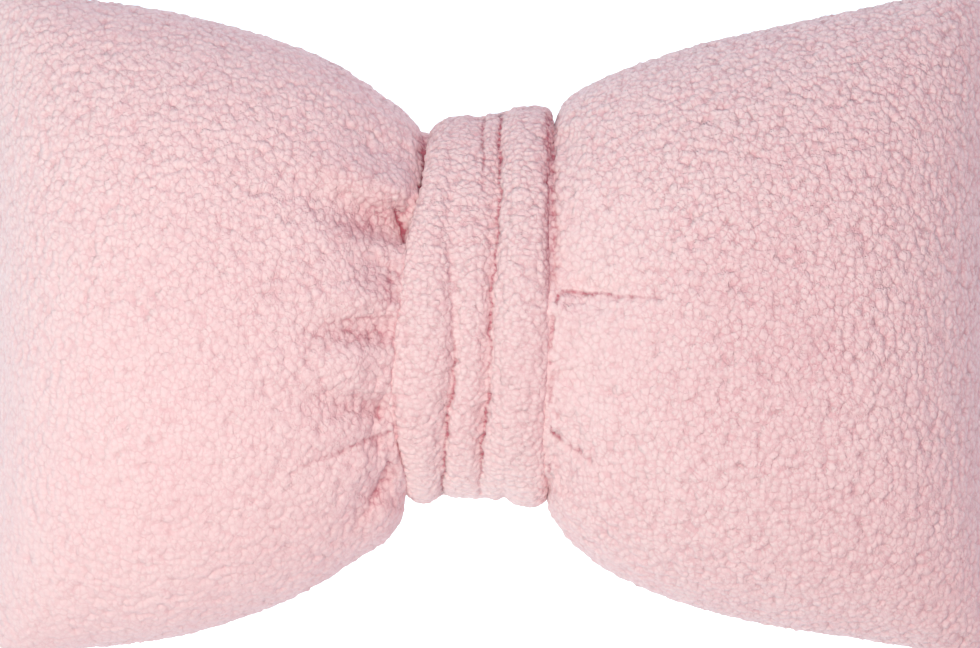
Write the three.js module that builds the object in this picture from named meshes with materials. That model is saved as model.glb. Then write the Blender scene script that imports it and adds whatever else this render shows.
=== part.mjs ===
// A bow cushion in curly fleece: one stuffed body that is drawn in at its waist, and a pleated
// band wrapped round the waist as the bow's knot. Millimetres, +Z up. The cushion lies on its
// back on Z = 0, the bow runs along X, and its top edge, as it is looked at, is toward +Y.

import * as THREE from 'three';

// The whole bow
const END = 225; // from the middle of the bow to each end
const END_DRAWN_IN = 6; // how far an end pulls in between its corner ears
const DRAWN_IN_FROM = 60; // the pull starts this far from the end
const MIDDLE_HEIGHT = 64; // of the plane between the front and the back
const FULLNESS = 2.25; // 2 would make a lobe's section an ellipse, more makes it boxier

// The waist inside the knot, and the air between it and the band
const WAIST = { middleY: 6.5, halfWidth: 76.5, halfThickness: 43.5 };
const GAP = 0.6;
const MOUTH = 4.5; // beyond the band a lobe swells to its full section in this length
const MOUTH_GAP = 1.1; // between the band's edge and the start of the swell
const SLANT_ENDS = 70; // this far from the band the lobe's sections stand square to the bow

// A table's rows as objects, each number under its column's name
function table(columns, rows) {
  return rows.map((row) => Object.fromEntries(columns.map((column, place) => [column, row[place]])));
}

// The lobes, a row for each place along X: how far the cloth reaches up and down in Y, and its
// crown, which is how far front and back stand from the middle height.
const LEFT_LOBE = table(['x', 'top', 'bottom', 'crown'], [
  [-225, 124, -127, 6],
  [-221, 137, -139, 21],
  [-213, 145.4, -145.8, 36],
  [-200, 147, -146.9, 50],
  [-180, 142.5, -144, 61.5],
  [-158, 139.8, -142, 67.5],
  [-132, 135, -137.5, 70],
  [-105, 128, -129.2, 69],
  [-80, 119.4, -118.5, 65],
  [-62, 111, -107, 59.5],
  [-50, 101.4, -99.5, 54.5],
  [-40, 95.6, -93, 50],
  [-29, 84, -80, 46.5],
]);
const RIGHT_LOBE = table(['x', 'top', 'bottom', 'crown'], [
  [25, 90, -85, 46.5],
  [34, 98.8, -95.5, 51],
  [42, 104, -102.8, 55],
  [53, 109.2, -110.6, 59.5],
  [70, 115.4, -118.6, 64.5],
  [92, 122.6, -126.3, 68.5],
  [120, 128.8, -133.4, 70],
  [150, 135.4, -137.9, 68.5],
  [174, 140.4, -141.4, 63.5],
  [200, 146.4, -146.2, 50],
  [213, 144.8, -146.4, 36],
  [221, 136.5, -139, 21],
  [225, 124, -127, 6],
]);

// The gathers beside the knot as the front shows them, a row for each: where it starts at the
// knot, where it runs out, how deep it is pressed in (a ridge is negative) and its half width.
const FRONT_GATHERS = table(['fromX', 'fromY', 'toX', 'toY', 'deep', 'wide'], [
  [-33, 72, -82, 89, 3, 6],
  [-36, 56, -86, 73, -4, 7],
  [-37, 38, -96, 60, 8.5, 8],
  [-41, 21, -70, 34, 4, 6],
  [-43, 8, -88, 8, -3, 6],
  [-44, -3, -93, -4, 5.5, 6],
  [-46, -18, -82, -15, -3, 6],
  [-46, -39, -101, -28, 6.5, 7],
  [-46, -51, -95, -68, 4, 5],
  [-43, -66, -68, -94, 6, 6],
  [29, 11, 76, 14, 6.5, 5],
  [30, 2, 54, 0, -2.5, 6],
  [29, -22, 52, -34, 2, 5],
  [27, -47, 58, -67, 5.5, 5],
]);

// The back's gathers are plain: the same few on both lobes, fanning out from the knot.
const BACK_GATHERS = { places: [-50, -22, 8, 38, 64], length: 48, fan: 0.35, deep: 4, wide: 7 };
const SIDE_BLEND = 0.2; // the share of the crown over which front gathers give way to back ones

// The band, which lies close round the waist
const BAND = {
  middleY: WAIST.middleY,
  halfWidth: WAIST.halfWidth + GAP,
  halfThickness: WAIST.halfThickness + GAP,
};
const FOLD_HEIGHTS = [9.8, 8.2, 11.6]; // the left, middle and right fold's thickness
const FOLD_RISE = 0.33; // the share of a fold over which it reaches its own thickness
const VALLEY_WIDE = 3.6; // half width of the valleys between the folds
const PLEAT = { x: -5, wide: 2.6 }; // a short pleat in the middle fold, by both ends of it
const RIGHT_ROLL = 9; // how tightly the band's right edge is rolled, a higher number is tighter

// A row for each height on the knot: where its left edge, the two valleys and its right edge
// run, how deep the left valley, the right valley and the short pleat are, and how tightly the
// left edge is rolled.
const KNOT = table(['y', 'left', 'valleyA', 'valleyB', 'right', 'deepA', 'deepB', 'pleat', 'roll'], [
  [-82, -37, -21, 3, 26.2, 3.4, 3, 1.6, 7],
  [-66, -41.5, -21, -3, 25.6, 4.2, 3, 0, 8],
  [-50, -45.2, -20.4, -2.8, 25.3, 4.4, 4, 0, 8],
  [-32, -47, -18, -0.6, 25.7, 4.2, 4.4, 0, 8],
  [-16, -45.6, -15.8, 0.7, 26, 4, 4.4, 0, 8],
  [3, -42.8, -15.4, 1.5, 26.2, 3.6, 4.4, 0, 8],
  [24, -40, -16.8, 2.4, 26.4, 2.2, 4.4, 0, 8],
  [44, -36, -17.6, 3, 26.5, 1.8, 4.4, 0, 7],
  [62, -31, -16.8, 3.9, 26.6, 1.6, 4.4, 0.4, 6],
  [78, -29.4, -16.2, 5, 26.8, 1.4, 4.4, 1.8, 4.5],
  [94, -28, -16, 5.6, 27, 1.2, 1.8, 2.6, 3.2],
]);

// How finely the solids are made
const BODY_AROUND = 96; // steps round the body
const FRONT_SHARE = 0.2; // how much closer together those steps are on the front
const LOBE_STATIONS = 24; // steps along each lobe
const BAND_AROUND = 72; // steps round the knot
const FOLD_STEPS = [0, 0.12, 0.3, 0.5, 0.7, 0.88]; // places across each fold of the band
const LINING_STEPS = 5; // steps across the band's inner face

// The value of a column at any place between a table's rows, on a smooth curve through them
function read(rows, key, place, column) {
  const last = rows.length - 1;
  const clamped = THREE.MathUtils.clamp(place, rows[0][key], rows[last][key]);
  let low = 0;
  while (low < last - 1 && rows[low + 1][key] < clamped) low += 1;
  const slope = (row) => {
    const before = rows[Math.max(row - 1, 0)];
    const after = rows[Math.min(row + 1, last)];
    return (after[column] - before[column]) / (after[key] - before[key]);
  };
  const span = rows[low + 1][key] - rows[low][key];
  const t = (clamped - rows[low][key]) / span;
  const fromStart = rows[low][column] * (1 + 2 * t) + slope(low) * span * t;
  const fromEnd = rows[low + 1][column] * (3 - 2 * t) - slope(low + 1) * span * (1 - t);
  return fromStart * (1 - t) ** 2 + fromEnd * t ** 2;
}

// A place on the knot: the table's column at a turn round it, 0 at the top edge, 90 degrees in
// front, 180 degrees at the bottom edge
function onKnot(turn, column) {
  const reach = BAND.halfWidth + FOLD_HEIGHTS[0] / 2;
  return read(KNOT, 'y', BAND.middleY + reach * Math.cos(turn), column);
}

// A closed surface through rings of points. The rings themselves close in a circle, or else a
// fan closes the first and the last.
function skin(rings, inCircle) {
  const around = rings[0].length;
  const points = rings.flat();
  const faces = [];
  const joins = inCircle ? rings.length : rings.length - 1;
  for (let ring = 0; ring < joins; ring += 1) {
    const here = ring * around;
    const there = ((ring + 1) % rings.length) * around;
    for (let step = 0; step < around; step += 1) {
      const next = (step + 1) % around;
      faces.push(here + step, here + next, there + next);
      faces.push(here + step, there + next, there + step);
    }
  }
  if (!inCircle) {
    const lastRing = (rings.length - 1) * around;
    const total = (ring) => ring.reduce((sum, point) => sum.add(point), new THREE.Vector3());
    const middleOf = (ring) => total(ring).divideScalar(around);
    points.push(middleOf(rings[0]), middleOf(rings[rings.length - 1]));
    for (let step = 0; step < around; step += 1) {
      const next = (step + 1) % around;
      faces.push(points.length - 2, next, step);
      faces.push(points.length - 1, lastRing + step, lastRing + next);
    }
  }
  const geometry = new THREE.BufferGeometry().setFromPoints(points);
  geometry.setIndex(faces);
  geometry.computeVertexNormals();
  return geometry;
}

// How far a gather presses the cloth in at a place
function pressed(gather, x, y) {
  const alongX = gather.toX - gather.fromX;
  const alongY = gather.toY - gather.fromY;
  const share = ((x - gather.fromX) * alongX + (y - gather.fromY) * alongY) / (alongX ** 2 + alongY ** 2);
  const t = THREE.MathUtils.clamp(share, 0, 1);
  const away = Math.hypot(x - gather.fromX - t * alongX, y - gather.fromY - t * alongY);
  return gather.deep * Math.exp(-((away / gather.wide) ** 2)) * (1 - THREE.MathUtils.smoothstep(t, 0, 1));
}

// The back's gathers as rows of the same kind as the front's
function backGathers() {
  const rows = [];
  for (const side of ['left', 'right']) {
    const outward = side === 'left' ? -1 : 1;
    for (const y of BACK_GATHERS.places) {
      const fromX = onKnot(Math.acos(THREE.MathUtils.clamp(y / BAND.halfWidth, -1, 1)), side);
      const toX = fromX + outward * BACK_GATHERS.length;
      const toY = y * (1 + BACK_GATHERS.fan);
      rows.push({ fromX, fromY: y, toX, toY, deep: BACK_GATHERS.deep, wide: BACK_GATHERS.wide });
    }
  }
  return rows;
}
const BACK_ROWS = backGathers();

// A point of the body's cover on a lobe's full section, at a turn round it
function onLobe(rows, x, turn) {
  const top = read(rows, 'x', x, 'top');
  const bottom = read(rows, 'x', x, 'bottom');
  const crown = read(rows, 'x', x, 'crown');
  const bow = (value) => Math.sign(value) * Math.abs(value) ** (2 / FULLNESS);
  const halfWidth = (top - bottom) / 2;
  const y = bow(Math.cos(turn)) * halfWidth;
  const z = bow(Math.sin(turn)) * crown;
  const front = THREE.MathUtils.smoothstep(Math.sin(turn), -SIDE_BLEND, SIDE_BLEND);
  const middleY = (top + bottom) / 2;
  let depth = 0;
  for (const gather of FRONT_GATHERS) depth += front * pressed(gather, x, middleY + y);
  for (const gather of BACK_ROWS) depth += (1 - front) * pressed(gather, x, middleY + y);
  const outward = new THREE.Vector2(y / halfWidth ** 2, z / crown ** 2).normalize();
  const nearEnd = THREE.MathUtils.smoothstep(Math.abs(x), END - DRAWN_IN_FROM, END);
  const drawnIn = END_DRAWN_IN * (1 - (y / halfWidth) ** 2) * nearEnd;
  return new THREE.Vector3(
    x - Math.sign(x) * drawnIn,
    middleY + y - outward.x * depth,
    MIDDLE_HEIGHT + z - outward.y * depth,
  );
}

// A point of the waist that the band hides
function onWaist(x, turn) {
  const y = WAIST.middleY + WAIST.halfWidth * Math.cos(turn);
  const z = MIDDLE_HEIGHT + WAIST.halfThickness * Math.sin(turn);
  return new THREE.Vector3(x, y, z);
}

// The turns round the body at which its rings have a point, closer together on the front
function bodyTurns() {
  const turns = [];
  for (let step = 0; step < BODY_AROUND; step += 1) {
    const even = (2 * Math.PI * step) / BODY_AROUND;
    turns.push(even + FRONT_SHARE * Math.cos(even));
  }
  return turns;
}

// A lobe's rings, from the knot to its end. Close to the knot they follow the band's slanting
// edge, and further out they stand square to the bow.
function lobeRings(side, rows) {
  const outward = side === 'left' ? -1 : 1;
  const turns = bodyTurns();
  const edges = turns.map((turn) => onKnot(turn, side) + outward * MOUTH_GAP);
  const meanEdge = edges.reduce((sum, edge) => sum + edge, 0) / edges.length;
  const length = END - Math.abs(meanEdge);
  const rings = [];
  for (let station = 0; station <= LOBE_STATIONS; station += 1) {
    const out = (length * (1 - Math.cos((Math.PI * station) / LOBE_STATIONS))) / 2;
    const follow = 1 - THREE.MathUtils.smoothstep(out, 0, SLANT_ENDS);
    const swell = out >= MOUTH ? 1 : Math.sqrt(1 - (1 - out / MOUTH) ** 2);
    rings.push(turns.map((turn, step) => {
      const x = meanEdge + outward * out + (edges[step] - meanEdge) * follow;
      const point = onWaist(x, turn).lerp(onLobe(rows, x, turn), swell);
      point.z = Math.max(point.z, 0);
      return point;
    }));
  }
  return rings;
}

function cushionBody() {
  const left = lobeRings('left', LEFT_LOBE).reverse();
  const right = lobeRings('right', RIGHT_LOBE);
  return skin([...left, ...right], false);
}

// One section of the band, across it from its left edge over the folds to its right edge, and
// back along its inner face
function bandSection(turn) {
  const left = onKnot(turn, 'left');
  const right = onKnot(turn, 'right');
  const valleys = [
    { x: onKnot(turn, 'valleyA'), deep: onKnot(turn, 'deepA'), wide: VALLEY_WIDE },
    { x: onKnot(turn, 'valleyB'), deep: onKnot(turn, 'deepB'), wide: VALLEY_WIDE },
    { x: PLEAT.x, deep: onKnot(turn, 'pleat'), wide: PLEAT.wide },
  ];
  const borders = [left, valleys[0].x, valleys[1].x, right];
  const section = [];
  FOLD_HEIGHTS.forEach((height, fold) => {
    for (const share of FOLD_STEPS) {
      const x = THREE.MathUtils.lerp(borders[fold], borders[fold + 1], share);
      const across = (2 * (x - left)) / (right - left) - 1;
      const before = FOLD_HEIGHTS[Math.max(fold - 1, 0)];
      const risen = Math.min(share / FOLD_RISE, 1);
      const nearer = THREE.MathUtils.lerp((before + height) / 2, height, risen);
      const roll = across < 0 ? onKnot(turn, 'roll') : RIGHT_ROLL;
      let out = nearer * Math.sqrt(Math.max(1 - Math.abs(across) ** roll, 0));
      for (const valley of valleys) out -= valley.deep * Math.exp(-(((x - valley.x) / valley.wide) ** 2));
      section.push(new THREE.Vector2(x, Math.max(out, 0)));
    }
  });
  for (let step = 0; step < LINING_STEPS; step += 1) {
    section.push(new THREE.Vector2(THREE.MathUtils.lerp(right, left, step / LINING_STEPS), 0));
  }
  return section;
}

function knotBand() {
  const rings = [];
  for (let step = 0; step < BAND_AROUND; step += 1) {
    const turn = (-2 * Math.PI * step) / BAND_AROUND;
    const across = new THREE.Vector2(BAND.halfThickness * Math.cos(turn), BAND.halfWidth * Math.sin(turn));
    across.normalize();
    const innerY = BAND.middleY + BAND.halfWidth * Math.cos(turn);
    const innerZ = MIDDLE_HEIGHT + BAND.halfThickness * Math.sin(turn);
    rings.push(bandSection(turn).map((point) => new THREE.Vector3(
      point.x,
      innerY + across.x * point.y,
      innerZ + across.y * point.y,
    )));
  }
  return skin(rings, true);
}

// Curly fleece, matt and pale pink
function fleece() {
  return new THREE.MeshStandardMaterial({ color: 0xf0c8ca, roughness: 0.95, metalness: 0 });
}

function named(name, geometry) {
  const mesh = new THREE.Mesh(geometry, fleece());
  mesh.name = name;
  return mesh;
}

const bowCushion = new THREE.Group();
bowCushion.add(named('cushion_body', cushionBody()));
bowCushion.add(named('knot_band', knotBand()));

export default bowCushion;
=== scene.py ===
# %% [markdown]
# # A bow cushion in curly fleece
# The real cushion is a soft bow: two stuffed lobes that are drawn in to a waist, and a pleated
# band that is wrapped round it. Its cover is a curly fleece, a cloth whose pile stands in small
# rounded curls. The frame from the CAD model gives the true size and shape. Here the stuffed
# form gets its fullness, its gathers and its pile, and then its colour and light. The camera looks
# straight down from two metres, so that little is foreshortened.

import math

import bpy
import numpy as np
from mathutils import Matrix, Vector


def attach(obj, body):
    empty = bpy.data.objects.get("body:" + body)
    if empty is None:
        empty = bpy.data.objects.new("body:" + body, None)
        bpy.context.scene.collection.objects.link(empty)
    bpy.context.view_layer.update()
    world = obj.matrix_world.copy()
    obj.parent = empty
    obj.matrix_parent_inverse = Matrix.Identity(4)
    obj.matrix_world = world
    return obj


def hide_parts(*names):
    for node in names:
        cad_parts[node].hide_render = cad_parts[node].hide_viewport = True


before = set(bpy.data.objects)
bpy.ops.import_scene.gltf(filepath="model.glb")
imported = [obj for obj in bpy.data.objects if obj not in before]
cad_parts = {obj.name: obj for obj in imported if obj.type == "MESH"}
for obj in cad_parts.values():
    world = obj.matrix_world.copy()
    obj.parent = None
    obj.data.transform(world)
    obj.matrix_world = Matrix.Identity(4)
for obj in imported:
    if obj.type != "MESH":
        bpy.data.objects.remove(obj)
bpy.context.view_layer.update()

MM = 0.001
MIDDLE_HEIGHT = 64 * MM
CAMERA_DISTANCE = 2.0
CAMERA_PLACE = (0.0, -0.88 * MM, MIDDLE_HEIGHT + CAMERA_DISTANCE)
# how much of the bow the picture takes in, from its left to its right edge
FRAME_WIDTH = 0.4322
SENSOR = 36.0

camera_data = bpy.data.cameras.new("camera")
camera_data.sensor_width = SENSOR
camera_data.lens = SENSOR * CAMERA_DISTANCE / FRAME_WIDTH
camera_data.clip_start = 0.05
camera_data.clip_end = 20.0
camera = bpy.data.objects.new("camera", camera_data)
camera.location = CAMERA_PLACE
bpy.context.scene.collection.objects.link(camera)
bpy.context.scene.camera = camera

# %% [markdown]
# ## Small helpers
# Blender's operators act on whatever is selected, so each step first selects its own piece and
# nothing else. A copy of a CAD node comes as loose triangles, so its doubles are merged before
# anything is cut or smoothed. Points are moved in whole arrays, which is far quicker than one
# vertex at a time.

# %% Selecting, copying and finishing a piece
SAME_PLACE = 0.02 * MM


def select_only(piece):
    bpy.ops.object.select_all(action="DESELECT")
    piece.select_set(True)
    bpy.context.view_layer.objects.active = piece


def merged_copy(node, name):
    """A copy of a CAD node's mesh, at the origin and merged into one skin."""
    source = bpy.data.objects[node]
    mesh = source.data.copy()
    mesh.transform(source.matrix_world)
    mesh.materials.clear()
    piece = bpy.data.objects.new(name, mesh)
    bpy.context.scene.collection.objects.link(piece)
    select_only(piece)
    bpy.ops.object.mode_set(mode="EDIT")
    bpy.ops.mesh.select_all(action="SELECT")
    bpy.ops.mesh.remove_doubles(threshold=SAME_PLACE)
    bpy.ops.object.mode_set(mode="OBJECT")
    return piece


def apply_modifier(piece, kind, **settings):
    """Adds a modifier with these settings and applies it."""
    modifier = piece.modifiers.new(kind.title(), kind)
    for setting, value in settings.items():
        setattr(modifier, setting, value)
    select_only(piece)
    bpy.ops.object.modifier_apply(modifier=modifier.name)


def points_of(piece):
    found = np.empty(len(piece.data.vertices) * 3)
    piece.data.vertices.foreach_get("co", found)
    return found.reshape(-1, 3)


def normals_of(piece):
    found = np.empty(len(piece.data.vertices) * 3)
    piece.data.vertex_normals.foreach_get("vector", found)
    return found.reshape(-1, 3)


def move_points(piece, points):
    piece.data.vertices.foreach_set("co", np.ascontiguousarray(points).ravel())
    piece.data.update()


def triangles_in(piece):
    piece.data.calc_loop_triangles()
    return len(piece.data.loop_triangles)


# %% [markdown]
# ## The true form
# The CAD solid has the bow's real outline, crown and gathers, but in flat facets. A copy of it is
# turned back into squares and subdivided, so that it is smooth. It serves as a mould: a remeshed
# piece is laid on it again wherever the remesh has rounded a form off.

# %% A smooth mould from a CAD node
SQUARE_UP = math.radians(60)


def mould_of(node):
    piece = merged_copy(node, node + "_mould")
    bpy.ops.object.mode_set(mode="EDIT")
    bpy.ops.mesh.select_all(action="SELECT")
    bpy.ops.mesh.tris_convert_to_quads(face_threshold=SQUARE_UP, shape_threshold=SQUARE_UP)
    bpy.ops.object.mode_set(mode="OBJECT")
    apply_modifier(piece, "SUBSURF", levels=2, render_levels=2)
    print(piece.name, len(piece.data.polygons), "faces")
    return piece


body_mould = mould_of("cushion_body")
band_mould = mould_of("knot_band")

# %% [markdown]
# ## Two stuffed lobes
# A bow like this is one cover, stuffed at both ends and squeezed to almost nothing at the waist.
# The waist never shows, because the band covers it, so each lobe is made as a pad of its own
# that ends inside the band. The CAD solid is cut there, shrunk a little and remeshed into even
# squares, so that a cloth simulation can blow it up again as a filling would.

# %% Cutting and remeshing a lobe
# the cut lies inside the band, where nothing shows
CUT = -10 * MM
VOXEL = 6.0 * MM
SHRINK = 2.0 * MM


def lobe_form(name, side):
    """The lobe on the left (side -1) or right (side 1) of the cut, as even squares."""
    piece = merged_copy("cushion_body", name)
    bpy.ops.object.mode_set(mode="EDIT")
    bpy.ops.mesh.select_all(action="SELECT")
    bpy.ops.mesh.bisect(
        plane_co=(CUT, 0, 0),
        plane_no=(1, 0, 0),
        use_fill=True,
        clear_inner=side > 0,
        clear_outer=side < 0,
    )
    bpy.ops.mesh.select_all(action="SELECT")
    bpy.ops.mesh.normals_make_consistent(inside=False)
    bpy.ops.object.mode_set(mode="OBJECT")
    apply_modifier(piece, "DISPLACE", strength=-SHRINK, mid_level=0.0)
    apply_modifier(piece, "REMESH", mode="VOXEL", voxel_size=VOXEL, use_smooth_shade=True)
    return piece


# %% [markdown]
# ## Filling
# Cloth with pressure and without gravity is a balloon, which is close to a cushion that is well
# filled. The neck is pinned, because the band holds it, and no point may travel further than the
# cap. How far each point has swelled is kept as a vertex group, for the fullness of the panels.

# %% Blowing a pad up
PRESSURE = 4.0
CLOTH_MASS = 0.01
CLOTH_STIFFNESS = 5.0
BENDING_STIFFNESS = 0.02
SPARE_CLOTH = 0.04
CLOTH_STEPS = 5
FILL_FRAMES = 20
NECK_FROM = 34 * MM
NECK_TO = 80 * MM
FILL_CAP = 6 * MM


def weigh(piece, name, weights):
    """A vertex group that gives each point its weight, from 0 to 1."""
    group = piece.vertex_groups.new(name=name)
    for number, weight in enumerate(weights):
        if weight > 0:
            group.add([number], float(weight), "REPLACE")


def fill_out(piece):
    """Lets cloth pressure fill the pad and keeps the swelling of each point."""
    start = points_of(piece)
    outward = normals_of(piece)
    away = np.abs(start[:, 0] - CUT)
    weigh(piece, "neck", np.clip((NECK_TO - away) / (NECK_TO - NECK_FROM), 0, 1))
    cloth = piece.modifiers.new("Filling", "CLOTH")
    cloth.settings.quality = CLOTH_STEPS
    cloth.settings.mass = CLOTH_MASS
    cloth.settings.tension_stiffness = CLOTH_STIFFNESS
    cloth.settings.compression_stiffness = CLOTH_STIFFNESS
    cloth.settings.shear_stiffness = CLOTH_STIFFNESS / 2
    cloth.settings.bending_stiffness = BENDING_STIFFNESS
    cloth.settings.shrink_min = -SPARE_CLOTH
    cloth.settings.use_pressure = True
    cloth.settings.uniform_pressure_force = PRESSURE
    cloth.settings.vertex_group_mass = "neck"
    cloth.settings.effector_weights.gravity = 0
    cloth.point_cache.frame_start = 1
    cloth.point_cache.frame_end = FILL_FRAMES
    for number in range(1, FILL_FRAMES + 1):
        bpy.context.scene.frame_set(number)
    select_only(piece)
    bpy.ops.object.modifier_apply(modifier=cloth.name)
    bpy.context.scene.frame_set(1)
    piece.vertex_groups.clear()
    moved = points_of(piece) - start
    reach = np.linalg.norm(moved, axis=1, keepdims=True)
    moved *= np.minimum(1.0, FILL_CAP / np.maximum(reach, 1e-9))
    swelling = np.clip((moved * outward).sum(axis=1), 0, FILL_CAP)
    weigh(piece, "swelling", swelling / FILL_CAP)
    move_points(piece, start + moved)
    print(piece.name, "moved up to", round(reach.max() / MM, 1), "mm")
    print("mean swelling", round(swelling.mean() / MM, 2), "spread", round(swelling.std() / MM, 2))


lobe_left = lobe_form("lobe_left", -1)
lobe_right = lobe_form("lobe_right", 1)
for lobe in (lobe_left, lobe_right):
    fill_out(lobe)
    print(lobe.name, len(lobe.data.polygons), "squares")

# %% [markdown]
# ## Front and back panels
# A sewn cushion has a front and a back panel that meet in a seam round its side, and that is
# where the pattern map is cut too. Each panel is unwrapped flat while the mesh is still coarse,
# and the later subdivision carries the map along.

# %% Unwrapping along the side seam
def unwrap_panels(piece):
    select_only(piece)
    mesh = piece.data
    if not mesh.uv_layers:
        mesh.uv_layers.new(name="OFBake")
    front = np.array([face.normal.z > 0 for face in mesh.polygons])
    side_of_edge = {}
    for face in mesh.polygons:
        for key in face.edge_keys:
            side_of_edge.setdefault(key, set()).add(bool(front[face.index]))
    for edge in mesh.edges:
        edge.use_seam = len(side_of_edge[edge.key]) > 1
    bpy.ops.object.mode_set(mode="EDIT")
    bpy.ops.mesh.select_all(action="SELECT")
    bpy.ops.uv.unwrap(method="ANGLE_BASED", margin=0.01)
    bpy.ops.object.mode_set(mode="OBJECT")


for lobe in (lobe_left, lobe_right):
    unwrap_panels(lobe)
    apply_modifier(lobe, "SUBSURF", levels=2, render_levels=2, uv_smooth="PRESERVE_BOUNDARIES")
    print(lobe.name, triangles_in(lobe), "triangles")

# %% [markdown]
# ## Laying the skin on the mould
# The remesh has rounded the neck and the gathers, so the fine skin is laid on the mould again.
# Only the flat cut inside the band stays free. Then the front panel gets back a part of what the
# filling gave it. It rises where it swelled more than is typical and falls where it swelled less,
# and the outline, which the seam holds, stays where it is.

# %% Laying on and swelling
SWELL_KEPT = 0.5
PANEL_FROM = 60 * MM
PANEL_TO = 120 * MM
FREE_NEAR_CUT = 3 * MM
LAID_FROM_CUT = 12 * MM
WRAP = {"wrap_method": "TARGET_PROJECT", "wrap_mode": "ON_SURFACE"}


def weights_in(piece, group_name):
    """The weights of a vertex group, as numbers from 0 to 1."""
    if group_name not in piece.vertex_groups:
        return np.zeros(len(piece.data.vertices))
    index = piece.vertex_groups[group_name].index
    found = np.zeros(len(piece.data.vertices))
    for vertex in piece.data.vertices:
        for entry in vertex.groups:
            if entry.group == index:
                found[vertex.index] = entry.weight
    return found


def lay_on(piece, mould):
    """Lays the piece on the mould, but for its flat cut inside the band."""
    away = np.abs(points_of(piece)[:, 0] - CUT)
    share = np.clip((away - FREE_NEAR_CUT) / (LAID_FROM_CUT - FREE_NEAR_CUT), 0, 1)
    weigh(piece, "laid", share)
    apply_modifier(piece, "SHRINKWRAP", target=mould, vertex_group="laid", **WRAP)


def swell_front(piece):
    """Raises the front where it swelled more than is typical and lowers it where less."""
    swelling = weights_in(piece, "swelling")
    points = points_of(piece)
    normals = normals_of(piece)
    typical = np.median(swelling[normals[:, 2] > 0.6]) if swelling.any() else 0.0
    facing = np.clip((normals[:, 2] - 0.25) / 0.5, 0, 1)
    away = np.abs(points[:, 0] - CUT)
    panel = facing * np.clip((away - PANEL_FROM) / (PANEL_TO - PANEL_FROM), 0, 1)
    rise = (swelling - typical) * FILL_CAP * SWELL_KEPT * panel
    move_points(piece, points + normals * rise[:, None])
    print(piece.name, "front falls by up to", round(-rise.min() / MM, 2), "mm")
    print(piece.name, "front rises by up to", round(rise.max() / MM, 2), "mm")


for lobe in (lobe_left, lobe_right):
    lay_on(lobe, body_mould)
    swell_front(lobe)

# %% [markdown]
# ## Where the cloth is creased
# A crease in deep pile is shallow in the mesh, so most of its shade is painted into the colour. For
# a thin crease each point keeps how far it lies beside the line and how dark the line's painted
# shade is. For a broad hollow it keeps a broad painted shade, which is strongest in the middle;
# below nought it is painted light, which makes the cloth paler. The material reads all three.

# %% Keeping the creases
THIN = 1.5 * MM
THIN_REACH = 2.4 * MM


def bell(beside, wide):
    """A soft furrow: 1 on its line and almost 0 at twice its width from there."""
    return np.exp(-((beside / wide) ** 2))


class CreaseMap:
    """Where the thin creases and the broad hollows of a piece are, and how much shade is painted
    there.
    """

    def __init__(self, count):
        # until a crease is added, every point is a metre away from the nearest one
        self.away = np.full(count, 1.0)
        self.beside = np.full(count, 9.0)
        self.dark = np.zeros(count)
        self.broad_shading = np.zeros(count)

    def add(self, beside, wide, dark):
        """Adds a line, from each point's distance beside it and how dark the shade painted there
        is.
        """
        # a broad line gives broad painted shade, and painted light below nought
        if wide > THIN:
            self.broad_shading = np.maximum(self.broad_shading, dark * bell(beside, wide))
            return
        closer = (np.abs(beside) < self.away) & (dark > 0)
        self.away[closer] = np.abs(beside)[closer]
        self.beside[closer] = (beside / wide)[closer]
        self.dark[closer] = (dark * np.clip(2 - 2 * np.abs(beside) / THIN_REACH, 0, 1))[closer]

    def keep_on(self, piece):
        """Writes what the material reads into the piece's mesh."""
        for name, values in (("beside", self.beside), ("dark", self.dark), ("broad_shading", self.broad_shading)):
            kept = piece.data.attributes.new(name, "FLOAT", "POINT")
            kept.data.foreach_set("value", values)


# %% [markdown]
# ## The knot band
# The band is a wide strip of the same fleece, wrapped once round the waist. Its pleats run along
# it, so three soft folds with two valleys between them run down the front. It is too tight to
# need filling: remeshed and laid on its mould, it has its shape, and only the ends of its folds
# are moved to where the cloth turns over them.

# %% Shaping the band
BAND_VOXEL = 3.6 * MM
WIDER = 2.0 * MM
WIDER_AT_TOP = 1.2 * MM
RIGHT_FOLD_FROM = 14 * MM
RIGHT_FOLD_TO = 24 * MM
ENDS_FROM = 58 * MM
TOP_END = 85 * MM
BOTTOM_END = 80 * MM
TOP_EDGE = (
    # (x, rise) in millimetres: the soft top edge of the folds, from left to right
    (-30, -4.8), (-27.5, -4.4), (-23.6, -2.9), (-18, -0.9), (-14, 0), (-4, 0.5), (1, 1.3),
    (4, 2.3), (7, 1.6), (10, 0.6), (16, 0.3), (20, 0.8), (24, 1.2),
)
BOTTOM_EDGE = (
    # the same for the bottom edge
    (-40, -0.5), (-30, -0.5), (-22, -0.3), (-17.5, 0.3), (-13.5, 1.3), (-9, 0.8), (-6.5, -0.2),
    (-3.5, -1.1), (0, -0.8), (2, 0), (4, 1.5), (6.2, 3.3), (8.4, 2.6), (11, 1.4), (14, 0.3),
    (18, -0.5), (24, -0.8),
)


def eased(share):
    """A share cut off at 0 and 1, with a soft start and a soft end."""
    share = np.clip(share, 0, 1)
    return share * share * (3 - 2 * share)


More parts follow.
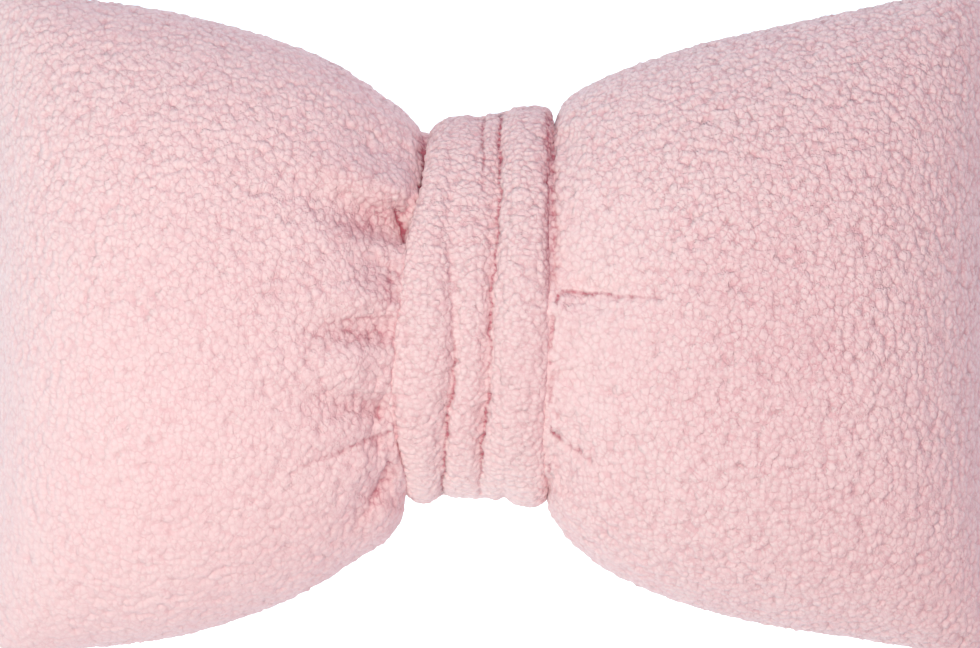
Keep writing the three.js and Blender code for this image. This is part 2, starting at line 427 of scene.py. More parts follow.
def soften_outline(piece):
    """Shapes the ends of the band's folds and lets the right fold lean on the right lobe."""
    points = points_of(piece)
    near_top = np.clip((points[:, 1] - ENDS_FROM) / (TOP_END - ENDS_FROM), 0, 1) ** 2
    near_bottom = np.clip((-points[:, 1] - ENDS_FROM) / (BOTTOM_END - ENDS_FROM), 0, 1) ** 2
    for rows, near in ((TOP_EDGE, near_top), (BOTTOM_EDGE, near_bottom)):
        rows = np.array(rows) * MM
        points[:, 1] += np.interp(points[:, 0], rows[:, 0], rows[:, 1]) * near
    near_right = eased((points[:, 0] - RIGHT_FOLD_FROM) / (RIGHT_FOLD_TO - RIGHT_FOLD_FROM))
    points[:, 0] += (WIDER + WIDER_AT_TOP * near_top) * near_right
    move_points(piece, points)


knot = merged_copy("knot_band", "band")
apply_modifier(knot, "REMESH", mode="VOXEL", voxel_size=BAND_VOXEL, use_smooth_shade=True)
print("band", len(knot.data.polygons), "squares")
apply_modifier(knot, "SUBSURF", levels=2, render_levels=2)
apply_modifier(knot, "SHRINKWRAP", target=band_mould, **WRAP)
soften_outline(knot)
print("band", triangles_in(knot), "triangles")

# %% [markdown]
# ## Grooves between the pleats
# Where two folds of the pile press on each other, the line between them is far narrower than the
# valley in the solid. It follows the same rows as in the CAD source: the height on the band and
# where the two valleys run there. Short lines along the rim and the right edge close the pile
# where the band turns down to the cover.

# %% Where the grooves run
GROOVE_A = (
    # (y, x, deep) in millimetres, from the bottom up
    (-76, -20.8, 1), (-60, -20, 1), (-43, -18.8, 1), (-34, -17.3, 1), (-26, -15.8, 0.9),
    (-17, -15.2, 0.8), (-8, -15.4, 0.5), (3, -16, 0.25), (24, -17.4, 0.15), (44, -17.6, 0.15),
    (62, -17, 0),
)
GROOVE_B = (
    (-76, -4, 0.3), (-70, -4.6, 0.6), (-61, -4.3, 1), (-52, -3.8, 1), (-43, -2.6, 1),
    (-34, -1.1, 0.9), (-30, -0.8, 0.8), (-22, -0.6, 0.4), (-13, 0, 0.8), (-8, 0, 1), (3, 0.2, 1),
    (18, 0.9, 1), (24, 1.8, 1), (36, 2.6, 0.9), (45, 3, 0.9), (54, 3.6, 1), (63, 3.8, 1),
    (76, 4, 1), (91, 4.3, 1),
)
GROOVE_TOP = (
    (54, -2.6, 0), (60, -2.6, 0.3), (72, -2.8, 0.7), (81, -3.1, 0.7), (90, -3.6, 0.7),
)
GROOVE_RIM = (
    (-66, -39.3, 0), (-60, -40, 0.5), (-52, -41, 0.5), (-36, -41.5, 0.5), (-28, -42, 0),
)
GROOVE_EDGE = (
    (8, 26, 0), (16, 26.2, 0.7), (40, 26, 0.7), (64, 26, 0.8), (92, 26, 0.8),
)
GROOVES = (
    # (rows, deep, wide, width of the dark line of painted shade) in millimetres
    (GROOVE_A, 1.9, 1.0, 0.55), (GROOVE_B, 1.9, 1.0, 0.55), (GROOVE_TOP, 1.9, 1.0, 0.75),
    (GROOVE_RIM, 1.9, 1.0, 0.75), (GROOVE_EDGE, 1.0, 2.4, 2.0),
)
print(len(GROOVES), "grooves")

# %% [markdown]
# ## Pressing the grooves
# Each groove is a soft furrow, a bell curve across its line. The line wavers a little, as the
# curls of both folds reach over it. It is pressed into the front only, because the sides of the
# band are plain. Both moulds have then done their work and are removed.

# %% Pressing the grooves
# how dark the painted shade in each groove's line is
GROOVE_DARK = 0.82
# painted shade on the band's top, which faces away from the light, and painted light on its bottom
PAINTED_SHADE_AT_TOP = 0.08
TOP_SHADE_FROM = 60 * MM
TOP_SHADE_TO = 80 * MM
PAINTED_LIGHT_AT_BOTTOM = 0.12
BOTTOM_LIGHT_FROM = -45 * MM
BOTTOM_LIGHT_TO = -70 * MM
WAVER = 0.3 * MM
FRONT_FROM = 30 * MM
FRONT_TO = 60 * MM


def press_grooves(piece):
    """Presses every groove and paints its shade, with painted shade on the band's top and painted
    light on its bottom.
    """
    points = points_of(piece)
    normals = normals_of(piece)
    on_front = np.clip((points[:, 2] - FRONT_FROM) / (FRONT_TO - FRONT_FROM), 0, 1)
    height = points[:, 1] / MM
    waver = WAVER * (np.sin(height / 2.7) + np.sin(height / 1.3 + 2.0) * 0.6)
    depth = np.zeros(len(points))
    creases = CreaseMap(len(points))
    for rows, most, wide, line_wide in GROOVES:
        rows = np.array(rows)
        line = np.interp(points[:, 1], rows[:, 0] * MM, rows[:, 1] * MM) + waver
        deep = np.interp(points[:, 1], rows[:, 0] * MM, rows[:, 2], left=0, right=0) * on_front
        beside = points[:, 0] - line
        depth += most * MM * deep * bell(beside, wide * MM)
        # the groove's line gets painted shade
        creases.add(beside, line_wide * MM, deep * GROOVE_DARK)
    # painted shade on the band's top and painted light on its bottom
    shaded_top = np.clip((points[:, 1] - TOP_SHADE_FROM) / (TOP_SHADE_TO - TOP_SHADE_FROM), 0, 1)
    painted_light = np.clip((points[:, 1] - BOTTOM_LIGHT_FROM) / (BOTTOM_LIGHT_TO - BOTTOM_LIGHT_FROM), 0, 1)
    creases.broad_shading += PAINTED_SHADE_AT_TOP * shaded_top - PAINTED_LIGHT_AT_BOTTOM * painted_light
    move_points(piece, points - normals * depth[:, None])
    creases.keep_on(piece)


press_grooves(knot)
for mould in (body_mould, band_mould):
    bpy.data.objects.remove(mould)

# %% [markdown]
# ## Gathers beside the knot
# Where the cover is drawn in, its spare cloth stands in soft folds that run out from the knot.
# The broad ones are in the solid. Here each is sharpened: a narrow crease in the bottom of a valley
# and a rounded ridge between two of them. Tucks are the short lines where the cover runs in under
# the band. Each row is a line on the front in millimetres, so that one fold can be changed without
# touching the others.

# %% Folds, creases and tucks
FOLDS = (
    # (fromX, fromY, toX, toY, deep, wide), deep below nought is a ridge
    (-37, 42, -92, 62, 2.0, 6.0),
    (-37, 54, -84, 72, -1.5, 6.0),
    (-42, 24, -62, 30, 1.5, 4.0),
    (-44, 10, -82, 12, -1.0, 6.0),
    (-44, -2, -90, -4, 1.2, 4.5),
    (-46, -16, -78, -14, -1.0, 6.0),
    (-46, -38, -98, -29, 0.9, 5.5),
    (-44, -66, -64, -93, 2.0, 5.0),
    (30, 4, 52, 0, -0.7, 7.0),
    (29, -22, 50, -34, 1.0, 4.0),
)
CREASES = (
    # (points from the knot outward, deep, wide, dark), where dark is how deep the painted shade in
    # the crease is
    (((-37.1, 36.7), (-37.5, 41.9), (-38.9, 47.2), (-41, 52), (-45, 57)), 2.0, 1.9, 0.5),
    (((-41, 10.9), (-41, 17.5), (-42.8, 22.7), (-45.4, 26.2)), 1.4, 2.6, 0.45),
    (((-46.3, -10), (-44.5, -6.1), (-46.3, -1.7), (-48.9, 1.7)), 1.1, 2.8, 0.4),
    (((-47.6, -41), (-48, -35.8), (-50.6, -33.2)), 1.6, 2.2, 0.55),
    (((-43.9, -48), (-52, -50.5), (-62, -55), (-77.5, -61), (-88, -66)), 0.6, 1.0, 0.5),
    (((-42.4, 2.2), (-52, 1.5), (-65, 0), (-82, -3.5)), 0.5, 1.0, 0.35),
    (((-43, -5), (-60, -5.5), (-84, -7)), 0.2, 4.5, 0.45),
    (((-45.5, -36), (-60, -34.5), (-80, -31)), 0.1, 4.5, 0.28),
    (((-40, 44), (-52, 42), (-75, 40)), 0.3, 5.0, 0.4),
    (((-40, 22), (-46, 20), (-60, 18)), 0.3, 5.0, 0.4),
    (((-42, 12), (-44, 20), (-47, 32)), 0.0, 5.5, 0.5),
    (((-38, 45), (-48, 46), (-64, 49)), 0.0, 8.0, 0.42),
    (((-48, 62), (-64, 66), (-90, 68)), 0.0, 9.0, 0.12),
    (((-42, -62), (-44, -69), (-52, -82), (-60, -92)), 2.2, 2.2, 0.5),
    (
        ((28.8, 8.3), (28.8, 10.9), (29.7, 12.7), (31.9, 13.3), (35.8, 13.1), (40.6, 12),
         (48, 12.4), (55.4, 10.9), (64, 10.6), (76, 9.8)),
        0.9, 0.8, 0.75,
    ),
    (((26.6, -46.3), (27.5, -48.9), (30.6, -51.5), (34.1, -53.3)), 0.7, 0.8, 0.7),
    (((30.6, -51.5), (34.1, -53.3), (39.3, -56.8), (44.5, -60.3), (49.8, -63.7)), 0.4, 0.9, 0.45),
)
TUCKS = (
    # (points, deep, wide, dark), where the cover runs in under the band and dark is its painted
    # shade
    (((-28.2, 84), (-28.6, 76), (-29, 70)), 1.6, 2.6, 1.0),
    (((-28.4, 75.1), (-28.2, 68.5), (-28.8, 62), (-30, 54)), 2.2, 1.5, 1.0),
    (((-36.7, 35), (-37.3, 41.9), (-38.9, 47.2), (-41.5, 53)), 1.0, 2.4, 0.65),
    (((-36.8, 34), (-37.4, 38), (-38.2, 43), (-40.2, 49)), 0.8, 1.3, 0.9),
    (((-43.2, -69.9), (-41.9, -64.6), (-43.2, -58.5)), 1.2, 1.9, 0.5),
    (((-47.6, -54.1), (-48.9, -48)), 0.8, 1.8, 0.4),
    (
        ((27.1, 92), (26.2, 79.5), (26.8, 70.7), (27, 62), (26.6, 53.3), (27.2, 44.5), (28, 35.8),
         (27.2, 27.9), (27.2, 18.3), (28.6, 8)),
        1.2, 1.8, 0.6,
    ),
    (((27.1, 4.6), (26.6, -2.6), (25.8, -7.9), (24.9, -15)), 0.8, 1.2, 0.5),
    (((25.8, -15.3), (25.8, -19.2)), 0.4, 1.0, 0.5),
    (((26.6, -20.8), (26.2, -27.9), (25.8, -36.9)), 0.8, 1.2, 0.5),
    (((25.8, -60.1), (25.8, -66.9)), 0.4, 1.0, 0.5),
)
print(len(FOLDS), "folds,", len(CREASES), "creases and", len(TUCKS), "tucks")

# %% [markdown]
# ## Pressing a line into cloth
# Sculpting brushes could draw the folds, but a line of points gives the same fold every time.
# Each vertex finds the nearest stretch of the line. That tells how far along it lies and how far
# beside it, and a bell curve of the second number makes a soft furrow.

# %% Pressing the gathers in
MESH_STEP = 1.5
FOLD_FADE = 1.6
CREASE_FADE = 1.8
TUCK_FADE = 5


def from_line(points, line):
    """How far along a line of points each point is (0 to 1) and how far beside it."""
    line = np.array(line) * MM
    lengths = np.linalg.norm(np.diff(line, axis=0), axis=1)
    nearest = np.full(len(points), 1.0)
    along = np.zeros(len(points))
    walked = 0.0
    for start, end, length in zip(line[:-1], line[1:], lengths):
        run = end - start
        from_start = points[:, :2] - start
        share = np.clip((from_start @ run) / (run @ run), 0, 1)
        beside = np.linalg.norm(from_start - share[:, None] * run, axis=1)
        side = np.sign(run[0] * from_start[:, 1] - run[1] * from_start[:, 0])
        closer = beside < np.abs(nearest)
        nearest[closer] = (beside * side)[closer]
        along[closer] = (walked + share[closer] * length) / lengths.sum()
        walked += length
    return along, nearest


def press_gathers(piece):
    """Presses the folds and creases, which fade away from the knot, and the tucks."""
    points = points_of(piece)
    normals = normals_of(piece)
    facing = np.clip(normals[:, 2] * 2.0, 0, 1)
    depth = np.zeros(len(points))
    creases = CreaseMap(len(points))
    for *ends, deep, wide in FOLDS:
        along, beside = from_line(points, (ends[0:2], ends[2:4]))
        fade = np.clip((1 - along) * FOLD_FADE, 0, 1)
        depth += deep * MM * bell(beside, wide * MM) * fade * facing
    for line, deep, wide, dark in CREASES + TUCKS:
        along, beside = from_line(points, line)
        fade = np.clip((1 - along) * CREASE_FADE, 0, 1)
        if (line, deep, wide, dark) in TUCKS:
            fade = np.clip(np.minimum(along, 1 - along) * TUCK_FADE, 0, 1)
        strength = fade * facing
        depth += deep * MM * bell(beside, max(wide, MESH_STEP) * MM) * strength
        # painted shade along each crease and tuck
        creases.add(beside, wide * MM, dark * strength)
    move_points(piece, points - normals * depth[:, None])
    creases.keep_on(piece)


# %% [markdown]
# ## Where the cover meets the band
# The band squeezes the cover, so on the real bow the two touch all along the band's edge. At a
# ridge the cover comes up almost as high as the band, and beside a tuck it dips in under it. So the
# height at which they meet is a list that goes up each side of the band.

# %% How high the cover meets the band
MEETS_LEFT = (
    # (y, drop, slope, share): how far below the band's edge the cover meets it, how steeply it
    # rises from there and how firmly it is laid
    (-84, 0, 0.7, 0), (-78, 0, 0.8, 1), (-62, -1.5, 0.8, 1), (-54, 0, 0.5, 1), (-50, 0, 0.3, 1),
    (-44, -1, 0.3, 1), (-36, 1.5, 0.3, 1), (-30, -1, 0.3, 1), (-12, -1, 0.3, 1), (-3, 1.5, 0.3, 1),
    (6, 0, 0.3, 1), (15, 0.5, 0.3, 1), (27, 2, 0.3, 1), (38, 3, 0.3, 0),
)
MEETS_RIGHT = (
    (-76, 4, 0.3, 0), (-66, 2, 0.3, 1), (-50, 1, 0.3, 1), (-8, 1, 0.3, 1), (8, 1.5, 0.3, 1),
    (16, 4, 0.3, 1), (60, 4, 0.3, 1), (72, 4.5, 0.3, 1), (82, 6, 0.3, 0.7), (90, 7, 0.3, 0),
)
NUDGES = (
    # (x, y, across, reach): where the cover bulges towards the band's lower corners
    (-42, -83, 3.4, 8), (29, -81, -2.8, 8),
)
print(len(MEETS_LEFT), "places on the left and", len(MEETS_RIGHT), "on the right")

# %% [markdown]
# ## Closing the gap
# A boolean would weld the band and the cover together, but they are two pieces of cloth. The
# band's own mesh tells where its edge runs and how high it is, and the cover is laid against it.
# The change fades out over a finger's width.

# %% Closing the gap beside the band
EDGE_ROWS = np.arange(-84, 84, 4) * MM
EDGE_INSIDE = 1.5 * MM
COVER_FROM = 60 * MM
COVER_TO = 85 * MM
GAP_FIRM = 4 * MM
GAP_OUTSIDE = 16 * MM
GAP_INSIDE = 4 * MM
ROW_REACH = 3 * MM
EDGE_REACH = 1 * MM


def band_edge(side):
    """At each row: where the band's front turns down on this side, and how high it is there."""
    front = points_of(knot)
    front = front[front[:, 2] > MIDDLE_HEIGHT]
    edge = []
    height = []
    for row in EDGE_ROWS:
        near = front[np.abs(front[:, 1] - row) < ROW_REACH]
        reach = near[:, 0] * side
        line = reach.max() - EDGE_INSIDE
        edge.append(line * side)
        height.append(near[np.abs(reach - line) < EDGE_REACH, 2].max())
    return np.array(edge), np.array(height)


def close_gap(piece, side):
    """Lays the cover against the edge of the band, so that no trench is left between them."""
    points = points_of(piece)
    edges, heights = band_edge(side)
    meets = np.array(MEETS_LEFT if side < 0 else MEETS_RIGHT)
    edge = np.interp(points[:, 1], EDGE_ROWS, edges)
    drop = np.interp(points[:, 1], meets[:, 0] * MM, meets[:, 1] * MM)
    slope = np.interp(points[:, 1], meets[:, 0] * MM, meets[:, 2])
    firm = np.interp(points[:, 1], meets[:, 0] * MM, meets[:, 3], left=0, right=0)
    outside = (points[:, 0] - edge) * side
    height = np.interp(points[:, 1], EDGE_ROWS, heights) - drop + np.clip(outside, 0, None) * slope
    fading = (GAP_OUTSIDE - outside) / (GAP_OUTSIDE - GAP_FIRM)
    share = eased(np.where(outside > 0, fading, 1 + outside / GAP_INSIDE))
    share = share * firm * np.clip((points[:, 2] - COVER_FROM) / (COVER_TO - COVER_FROM), 0, 1)
    lift = (height - points[:, 2]) * share
    points[:, 2] += lift
    for x, y, across, reach in NUDGES:
        away = np.hypot(points[:, 0] - x * MM, points[:, 1] - y * MM)
        points[:, 0] += across * MM * bell(away, reach * MM) * (x * side > 0)
    move_points(piece, points)
    print(piece.name, "falls by up to", round(-lift.min() / MM, 1), "mm beside the band")
    print(piece.name, "rises by up to", round(lift.max() / MM, 1), "mm beside the band")


for lobe, side in ((lobe_left, -1), (lobe_right, 1)):
    close_gap(lobe, side)
    press_gathers(lobe)

# %% [markdown]
# ## Shader maths
# A small wrapper lets a node's socket stand in a sum, so that a pattern reads as one line of
# arithmetic instead of a page of node links. It serves the pile's geometry nodes and the
# material's shader nodes alike, so the curls that stand up are the curls that are coloured.

# %% A socket that can be reckoned with
class Wire:
    """A node's output in a node tree, which takes part in sums."""

    def __init__(self, tree, socket):
        self.tree = tree
        self.socket = socket

    def node(self, kind, settings, values, out=0):
        """Adds a node, sets it, and fills its sockets with numbers or wires."""
        made = self.tree.nodes.new(kind)
        for setting, value in settings.items():
            setattr(made, setting, value)
        for place, value in values.items():
            if isinstance(value, Wire):
                self.tree.links.new(value.socket, made.inputs[place])
            else:
                made.inputs[place].default_value = value
        return Wire(self.tree, made.outputs[out])

    def sister(self, out):
        """Another output of the same node."""
        return Wire(self.tree, self.socket.node.outputs[out])

    def maths(self, operation, first, second):
        return self.node("ShaderNodeMath", {"operation": operation}, {0: first, 1: second})

    def vector(self, operation, first, second):
        second_place = 3 if operation == "SCALE" else 1
        values = {0: first, second_place: second}
        return self.node("ShaderNodeVectorMath", {"operation": operation}, values)

    def ramp(self, low, high, at_low=0.0, at_high=1.0):
        """Runs smoothly from one value to another while this wire goes from low to high."""
        return self.node(
            "ShaderNodeMapRange",
            {"interpolation_type": "SMOOTHSTEP"},
            {0: self, 1: low, 2: high, 3: at_low, 4: at_high},
        )

    def noise(self, size, detail=1.0, out="Fac"):
        """Soft noise at this place, whose lumps are about this size."""
        values = {"Vector": self, "Scale": 1 / size, "Detail": detail}
        return self.node("ShaderNodeTexNoise", {}, values, out)

    def __add__(self, other):
        return self.maths("ADD", self, other)

    def __radd__(self, other):
        return self.maths("ADD", other, self)

    def __sub__(self, other):
        return self.maths("SUBTRACT", self, other)

    def __rsub__(self, other):
        return self.maths("SUBTRACT", other, self)

    def __mul__(self, other):
        return self.maths("MULTIPLY", self, other)

    def __rmul__(self, other):
        return self.maths("MULTIPLY", other, self)


# %% [markdown]
# ## The pile
# Curly fleece is brushed and tumbled until its pile rolls up into curls, which crowd each other
# like pebbles. Real hair would be far too heavy to pass on, so a cell pattern makes the curls: the
# distance to a cell's middle makes its dome, and the distance to the nearest wall makes the crease.
# Noise bends the cells and frays their walls, and it lets some walls fade, because neighbouring
# curls grow into each other. The slow bend is worked out once a point and kept on the mesh.

# %% Curls from cells
CURL = 2.9 * MM
TUFT = 1.7 * MM
FIBRE = 0.9 * MM
MERGED = 5 * MM
FRAY = (2.0 * MM, -1.5 * MM, 1.5 * MM)
WALL = 0.2
# the size of the noise and how far it pushes
BROAD_BEND = (6 * MM, 1.6 * MM)
FINE_BEND = (1.6 * MM, 0.5 * MM)


def bend(place, size, reach):
    """A place pushed about by noise, so that straight lines through it turn wavy."""
    push = place.vector("SUBTRACT", place.noise(size, 1.0, "Color"), (0.5, 0.5, 0.5))
    return place.vector("ADD", place, place.vector("SCALE", push, 2 * reach))


def curl_pattern(place, bent):
    """The pile's height, creases, domes, the curls' own shades and the fibres at a place."""
    fibres = place.noise(FIBRE, 2.0) - 0.5
    fray = place.node("ShaderNodeVectorMath", {"operation": "SCALE"}, {0: FRAY, 3: fibres})
    frayed = bent.vector("ADD", bent, fray)
    cells = {"Vector": frayed, "Scale": 1 / CURL, "Randomness": 1.0}
    tufts = {"Vector": frayed, "Scale": 1 / TUFT, "Randomness": 1.0}
    middle = place.node("ShaderNodeTexVoronoi", {"feature": "F1"}, cells, "Distance")
    wall = place.node("ShaderNodeTexVoronoi", {"feature": "DISTANCE_TO_EDGE"}, cells, "Distance")
    tuft = place.node("ShaderNodeTexVoronoi", {"feature": "F1"}, tufts, "Distance")
    own_shade = middle.sister("Color") - 0.5
    apart = place.noise(MERGED, 1.0).ramp(0.35, 0.65, 0.5, 1.0)
    dome = 1 - middle * middle * 1.2
    curl_crease = wall.ramp(0.0, WALL, 1.0, 0.0) * apart
    tuft_crease = tuft.ramp(0.5, 0.75) * (1 - curl_crease)
    crease = curl_crease + tuft_crease * 0.25
    height = dome + tuft.ramp(0.15, 0.6, 0.18, 0.0) + fibres * 0.2
    return height, crease, dome, own_shade, fibres


# %% [markdown]
# ## Curls that stand up
# The pile is thick enough to see in the outline, so it is raised in the mesh and not only painted
# on. Geometry nodes read each point's place, keep it as the cloth's own coordinate and move the
# point along its normal: out on a curl's top and in between two curls. Broader tufts at the sides
# make the outline uneven. The mesh is too coarse for single fibres: those are bump.

# %% Raising the pile
PILE = 1.2 * MM
BAND_PILE = 0.9 * MM
SIDE_TUFTS = 2.4 * MM
TUFT_SPACING = 4.5 * MM
TUFT_LEVEL = 0.62
SKIN_LEVEL = 0.7


def raise_pile(piece, stretch, pile_height):
    """Keeps each point's place on the cloth, plain and bent, and raises the curls there."""
    tree = bpy.data.node_groups.new("raised pile", "GeometryNodeTree")
    tree.interface.new_socket("Geometry", in_out="INPUT", socket_type="NodeSocketGeometry")
    tree.interface.new_socket("Geometry", in_out="OUTPUT", socket_type="NodeSocketGeometry")
    into = Wire(tree, tree.nodes.new("NodeGroupInput").outputs[0])
    position = into.node("GeometryNodeInputPosition", {}, {})
    normal = into.node("GeometryNodeInputNormal", {}, {})
    place = into.vector("MULTIPLY", position, stretch)
    bent = bend(bend(place, *BROAD_BEND), *FINE_BEND)
    kept = into
    for name, value in (("rest", place), ("bent", bent)):
        kept = into.node(
            "GeometryNodeStoreNamedAttribute",
            {"data_type": "FLOAT_VECTOR", "domain": "POINT"},
            {"Geometry": kept, "Name": name, "Value": value},
        )
    height = curl_pattern(place, bent)[0]
    up = normal.vector("DOT_PRODUCT", normal, (0.0, 0.0, 1.0)).sister(1)
    at_side = up.maths("ABSOLUTE", up, 0).ramp(0.1, 0.6, SIDE_TUFTS, 0.0)
    tufts = (place.noise(TUFT_SPACING, 1.0) - TUFT_LEVEL) * at_side
    offset = into.vector("SCALE", normal, (height - SKIN_LEVEL) * pile_height + tufts)
    raised = into.node("GeometryNodeSetPosition", {}, {"Geometry": kept, "Offset": offset})
    tree.links.new(raised.socket, tree.nodes.new("NodeGroupOutput").inputs[0])
    pile = piece.modifiers.new("Pile", "NODES")
    pile.node_group = tree
    before = points_of(piece)
    select_only(piece)
    bpy.ops.object.modifier_apply(modifier=pile.name)
    bpy.ops.object.shade_smooth()
    moved = np.linalg.norm(points_of(piece) - before, axis=1)
    print(piece.name, "moved by up to", round(moved.max() / MM, 2), "mm by its pile")


# %% [markdown]
# ## Resting on its back
# Under its own weight the pile lies flat where the cushion touches the floor. The lowest points
# are pressed together, which leaves a soft edge round each patch. The curls are a little longer
# up the lobes and finer on the band, because the cloth there is drawn tight.

# %% Raised pile and flat underside
FLAT_BELOW = 1.2 * MM
OFF_FLOOR = 0.25 * MM
PRESSED = 0.15
LOBE_STRETCH = (1.06, 0.94, 1.0)
BAND_STRETCH = (1.0, 1.2, 1.2)


def settle(piece):
    """Flattens the underside on the floor, with a soft edge round the patch."""
    points = points_of(piece)
    height = points[:, 2]
    low = height < FLAT_BELOW
    height[low] = OFF_FLOOR + PRESSED * (height[low] - height.min())
    move_points(piece, points)


for lobe in (lobe_left, lobe_right):
    raise_pile(lobe, LOBE_STRETCH, PILE)
    settle(lobe)
raise_pile(knot, BAND_STRETCH, BAND_PILE)

# %% [markdown]
# ## Curly fleece
# The pile is a pale rose. Light scatters in it, so its shade is rosy, and the shade in its hollows
# and on the flanks of its curls is painted into the colour, deeper and warmer than its tips. A
# picture of fleece could be wrapped round the cushion, but a pattern that is worked out at each
# point has no seams and follows the raised curls exactly.

# %% Colours of the fleece
def colour(red, green, blue):
    """A colour as it looks on a screen, 0 to 255, as Blender's linear values."""
    def linear(value):
        value /= 255
        return value / 12.92 if value <= 0.04045 else ((value + 0.055) / 1.055) ** 2.4
    return (linear(red), linear(green), linear(blue), 1.0)


TIP_COLOUR = colour(247, 214, 214)
# the hollows' colour is that of their painted shade and of the cloth's darker tones
SHADE_AND_TONE_COLOUR = colour(218, 122, 138)
print("tips", TIP_COLOUR, "hollows", SHADE_AND_TONE_COLOUR)

# %% [markdown]
# ## From curls to colour
# One number, the relief, scales the painted shade between and on the curls, their own tones and the
# bump together. It is low at the lower left, where the light falls face on, and high towards the
# upper right, where the light grazes, and beside the knot on its right all of them are weaker. A
# balance part keeps the mean tint where the relief scales it, and it also paints shade towards the
# lower left and light towards the upper right. A faint bloom makes the right lobe rosier.

# %% Painted shade and tone of tips and hollows
BLOOM_PLACE = (120 * MM, -5 * MM, 105 * MM)
SOFT_PLACE = (42 * MM, 5 * MM, 100 * MM)
HIGHER_TOWARDS = (1.2, 2.4, 0.0)
PATCH = 28 * MM

# how much each part deepens the tint, where 0 is the tips' colour and 1 that of the hollows: the
# crease and flank parts are painted shade, the balance part keeps the mean and paints shade and
# light across the cushion, and the curls' own, fibre, patch and even parts are the cloth's own
# tones
CREASE_PAINTED_SHADE = 0.27
FLANK_PAINTED_SHADE = 0.1
OWN_TINT = 0.08
FIBRE_TINT = 0.1
BALANCE_AND_PAINTED_SHADE = 0.22
PATCH_TINT = 0.1
EVEN_TINT = 0.03
BLOOM_TINT = 0.07

fleece = bpy.data.materials.new("curly fleece")
fleece.use_nodes = True
cloth_tree = fleece.node_tree
surface = cloth_tree.nodes["Principled BSDF"]


def from_mesh(name, out="Fac"):
    """What the mesh keeps under this name, as a wire of the material."""
    return Wire(cloth_tree, None).node("ShaderNodeAttribute", {"attribute_name": name}, {}, out)


def mixed(share, first, second):
    """A colour between two others."""
    return share.node("ShaderNodeMix", {"data_type": "RGBA"}, {0: share, 6: first, 7: second}, 2)


rest = from_mesh("rest", "Vector")
bent = from_mesh("bent", "Vector")
height, crease, dome, own_shade, fibres = curl_pattern(rest, bent)
patches = rest.noise(PATCH, 2.0) - 0.5
rising = rest.vector("DOT_PRODUCT", rest, HIGHER_TOWARDS).sister(1)
# low at the lower left, where the light falls face on, and high towards the upper right, where it
# grazes
relief = rising.ramp(-0.65, 0.65, 0.5, 1.4)
soft = rest.vector("DISTANCE", rest, SOFT_PLACE).sister(1).ramp(0.02, 0.08, 0.75, 1.0)
# painted shade in the creases between the curls and on their flanks, with the curls' own tones and
# fibres
shade_and_tone = crease * CREASE_PAINTED_SHADE + (1 - dome) * FLANK_PAINTED_SHADE + own_shade * OWN_TINT
shade_and_tone = (shade_and_tone - fibres * FIBRE_TINT) * relief * soft
broad_shading = from_mesh("broad_shading")
bloom = rest.vector("DISTANCE", rest, BLOOM_PLACE).sister(1).ramp(0.02, 0.075, BLOOM_TINT, 0.0)
# the broad shading below nought is painted light, on the band's bottom
painted_light = broad_shading.maths("MINIMUM", broad_shading, 0.0)
# the balance part keeps the mean tint and paints shade towards the lower left and light towards the
# upper right
shade_and_tone = shade_and_tone + (1 - relief) * BALANCE_AND_PAINTED_SHADE + patches * PATCH_TINT + bloom + painted_light + EVEN_TINT
tint = mixed(shade_and_tone, TIP_COLOUR, SHADE_AND_TONE_COLOUR)
print("tint made of", len(cloth_tree.nodes), "nodes")

# %% [markdown]
# ## Darker where it is creased
# In a crease the pile closes over itself and swallows the light, so its shade is painted into the
# tint in deep rose, in the thin creases and the broad hollows alike. The thin lines stray a little
# from side to side, as the pile covers them here and there.

# %% Painted shade in the creases
STRAY = 2.5 * MM
STRAY_REACH = 1.6
# the colour of the painted shade in creases and broad hollows
CREASE_SHADE_COLOUR = colour(190, 104, 117)

stray = rest.noise(STRAY)
strayed = from_mesh("beside") + (stray - 0.5) * STRAY_REACH
in_line = strayed.maths("ABSOLUTE", strayed, 0).ramp(0.2, 1.5, 1.0, 0.0) * from_mesh("dark")
# the broad painted shade, mottled a little
broad_shading = broad_shading.maths("MAXIMUM", broad_shading, 0.0) * stray.ramp(0.3, 0.7, 0.5, 1.4)
# painted shade of thin creases and broad hollows, deepest between the curls
crease_shade = (in_line + broad_shading) * (crease * 0.5 + (1 - dome) * 0.5 + 0.45)
tint = mixed(crease_shade, tint, CREASE_SHADE_COLOUR)
print("creases added,", len(cloth_tree.nodes), "nodes in all")

# %% [markdown]
# ## Bump and finish
# The mesh carries the curls, and the bump adds the fibres and sharpens the walls. Fleece has no
# gloss: it is rough all over, with a faint sheen where its fibres stand against the light.

# %% Bump, sheen and handing the cloth out
BUMP_HEIGHT = 0.75 * MM
LINE_DEPTH = 0.4

height = height * relief * soft - in_line * LINE_DEPTH
bump = rest.node("ShaderNodeBump", {}, {"Height": height, "Distance": BUMP_HEIGHT, "Strength": 1.0})
cloth_tree.links.new(tint.socket, surface.inputs["Base Color"])
cloth_tree.links.new(bump.socket, surface.inputs["Normal"])
surface.inputs["Roughness"].default_value = 0.95
surface.inputs["Specular IOR Level"].default_value = 0.15
surface.inputs["Sheen Weight"].default_value = 0.25
surface.inputs["Sheen Roughness"].default_value = 0.4
surface.inputs["Sheen Tint"].default_value = (0.90, 0.88, 1.0, 1.0)
for piece in (lobe_left, lobe_right, knot):
    piece.data.materials.clear()
    piece.data.materials.append(fleece)
print("fleece on", lobe_left.name, lobe_right.name, knot.name)

# %% [markdown]
# ## Floor and light
# The cushion lies on a plain white floor under soft studio light. The main light comes from the
# left and a little from below in the picture, so the right lobe and the upper edges are in shade.
# The floor glows a little, so that it stays white right up to the cushion, as in a catalogue.

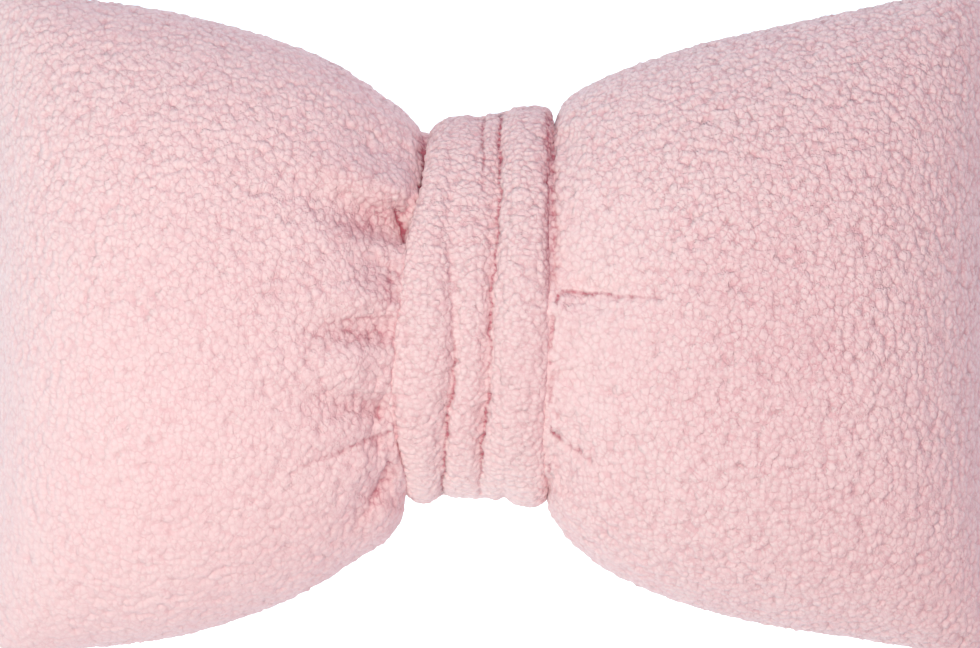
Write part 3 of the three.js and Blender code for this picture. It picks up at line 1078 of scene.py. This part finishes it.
# %% Floor
bpy.ops.object.select_all(action="DESELECT")
bpy.ops.mesh.primitive_plane_add(size=12.0, location=(0, 0, -0.5 * MM))
floor = bpy.context.object
floor.name = "floor"
floor_paint = bpy.data.materials.new("white floor")
floor_paint.use_nodes = True
floor_surface = floor_paint.node_tree.nodes["Principled BSDF"]
floor_surface.inputs["Base Color"].default_value = (0.85, 0.85, 0.86, 1.0)
floor_surface.inputs["Roughness"].default_value = 0.9
floor_surface.inputs["Emission Color"].default_value = (0.70, 0.98, 1.0, 1.0)
floor_surface.inputs["Emission Strength"].default_value = 0.93
floor.data.materials.append(floor_paint)
print("floor", tuple(floor.dimensions))

# %% [markdown]
# ## Soft studio light
# Big square lamps give soft shadows. A cool key light from the lower left models the curls, and a
# warm one beside the camera fills the front. Weak ones from beyond the top edge and from both
# sides keep the edges from going dark, and the world adds an even rosy light.

# %% Lights
def soft_light(name, place, size, power, tint):
    """A square studio light that looks at the middle of the cushion."""
    lamp = bpy.data.lights.new(name, "AREA")
    lamp.size = size
    lamp.energy = power
    lamp.color = tint
    holder = bpy.data.objects.new(name, lamp)
    holder.location = place
    holder.visible_camera = False
    aim = Vector((0, 0, MIDDLE_HEIGHT)) - Vector(place)
    holder.rotation_euler = aim.to_track_quat("-Z", "Y").to_euler()
    bpy.context.scene.collection.objects.link(holder)


soft_light("key", (-0.38, -0.22, 1.0), 0.6, 6.1, (0.72, 1.0, 0.87))
soft_light("front", (0.12, 0.0, 1.96), 1.2, 16.0, (1.0, 0.86, 0.86))
soft_light("above", (0.0, 1.79, 0.69), 1.2, 4.9, (0.4, 0.84, 1.0))
soft_light("left", (-0.97, -0.1, 0.45), 0.6, 1.2, (0.4, 0.97, 1.0))
soft_light("right", (0.97, 0.2, 0.4), 0.6, 0.5, (0.5, 0.9, 1.0))
studio = bpy.data.worlds.new("studio")
studio.use_nodes = True
studio.node_tree.nodes["Background"].inputs["Color"].default_value = (1.0, 0.69, 0.90, 1.0)
studio.node_tree.nodes["Background"].inputs["Strength"].default_value = 0.272
bpy.context.scene.world = studio
bpy.context.scene.view_settings.view_transform = "Standard"

# %% [markdown]
# ## Handing over
# Each piece rides on the one body, and the CAD node that it replaces is hidden.

# %% Declarations
for lobe in (lobe_left, lobe_right):
    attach(lobe, "root")
    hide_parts("cushion_body")
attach(knot, "root")
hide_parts("knot_band")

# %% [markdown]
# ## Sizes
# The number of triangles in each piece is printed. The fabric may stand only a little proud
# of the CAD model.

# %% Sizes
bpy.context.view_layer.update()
for piece in (lobe_left, lobe_right, knot):
    print(piece.name, triangles_in(piece), "triangles")
